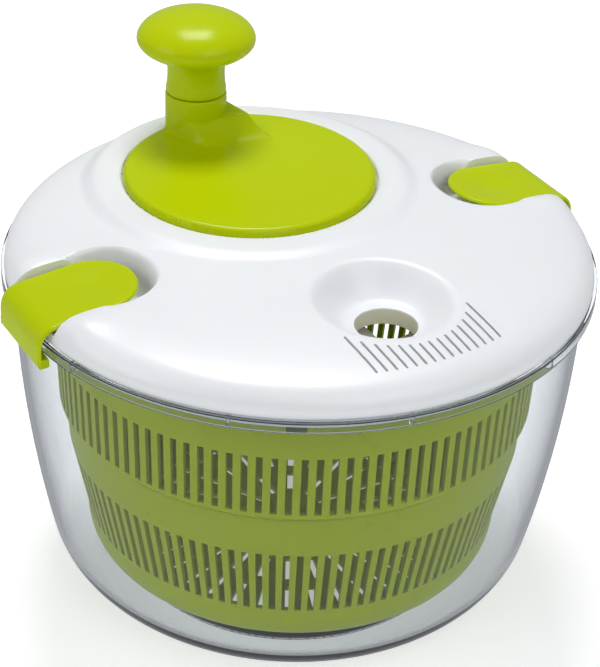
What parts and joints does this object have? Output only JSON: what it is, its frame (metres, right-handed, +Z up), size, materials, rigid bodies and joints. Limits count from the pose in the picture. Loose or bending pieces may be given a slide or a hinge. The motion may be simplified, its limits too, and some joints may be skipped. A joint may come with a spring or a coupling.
{
  "type": "salad spinner",
  "caption": "Hand-cranked salad spinner: clear bowl, slotted basket, domed lid with geared crank disc, knob, pouring funnel and two rocker clamps.",
  "frame": {"origin": "middle of the foot of the bowl, on the surface it stands on", "axes": "+Z up along the bowl's axis, clamps on +X and -X, crank toward +Y, pouring hole toward -Y"},
  "size_m": [0.2558, 0.25, 0.2226],
  "materials": {
    "lime_plastic": "smooth glossy lime moulding",
    "basket_plastic": "smooth lime moulding, thin walled",
    "white_plastic": "smooth satin white moulding",
    "cream_plastic": "satin cream moulding",
    "clear_plastic": "clear polished plastic",
    "soft_grey": "soft grey elastomer",
    "nylon": "natural nylon",
    "steel": "stainless steel"
  },
  "bodies": {
    "bowl_body": {"bowl": "clear_plastic", "anti_slip_ring": "soft_grey"},
    "basket_body": {"basket": "basket_plastic"},
    "lid_body": {"lid": "white_plastic", "gear_pan": "white_plastic", "pinion_bush": "nylon", "pan_screws": "steel", "clamp_pin_right": "steel", "clamp_pin_left": "steel"},
    "crank_body": {"crank_disc": "lime_plastic", "ring_gear": "nylon", "ring_gear_screws": "steel", "knob_spindle": "steel", "knob_washer": "steel", "knob_screw": "steel"},
    "knob": {"knob_body": "lime_plastic", "knob_cap": "lime_plastic"},
    "driver": {"drive_pinion": "nylon", "basket_cover": "cream_plastic", "drive_washer": "steel", "drive_screw": "steel"},
    "clamp_right_body": {"clamp_right": "lime_plastic"},
    "clamp_left_body": {"clamp_left": "lime_plastic"}
  },
  "joints": [
    {"name": "lid_lift", "type": "slide", "parent": "bowl_body", "child": "lid_body", "axis": [0, 0, 1], "range_m": [0, 0.15]},
    {"name": "crank_turn", "type": "hinge", "parent": "lid_body", "child": "crank_body", "pos_m": [0, 0.045, 0.16], "axis": [0, 0, 1], "continuous": true},
    {"name": "driver_spin", "type": "hinge", "parent": "lid_body", "child": "driver", "pos_m": [0, 0, 0.15], "axis": [0, 0, 1], "continuous": true},
    {"name": "basket_spin", "type": "hinge", "parent": "bowl_body", "child": "basket_body", "pos_m": [0, 0, 0.017], "axis": [0, 0, 1], "continuous": true},
    {"name": "knob_spin", "type": "hinge", "parent": "crank_body", "child": "knob", "pos_m": [-0.00188, 0.09296, 0.2], "axis": [0, 0, 1], "continuous": true},
    {"name": "clamp_right_press", "type": "hinge", "parent": "lid_body", "child": "clamp_right_body", "pos_m": [0.1206, 0, 0.1526], "axis": [0, -1, 0], "range_deg": [0, 14]},
    {"name": "clamp_left_press", "type": "hinge", "parent": "lid_body", "child": "clamp_left_body", "pos_m": [-0.1206, 0, 0.1526], "axis": [0, 1, 0], "range_deg": [0, 14]}
  ],
  "couplings": [
    {"joint": "driver_spin", "follows": "crank_turn", "ratio": 4},
    {"joint": "basket_spin", "follows": "crank_turn", "ratio": 4}
  ]
}
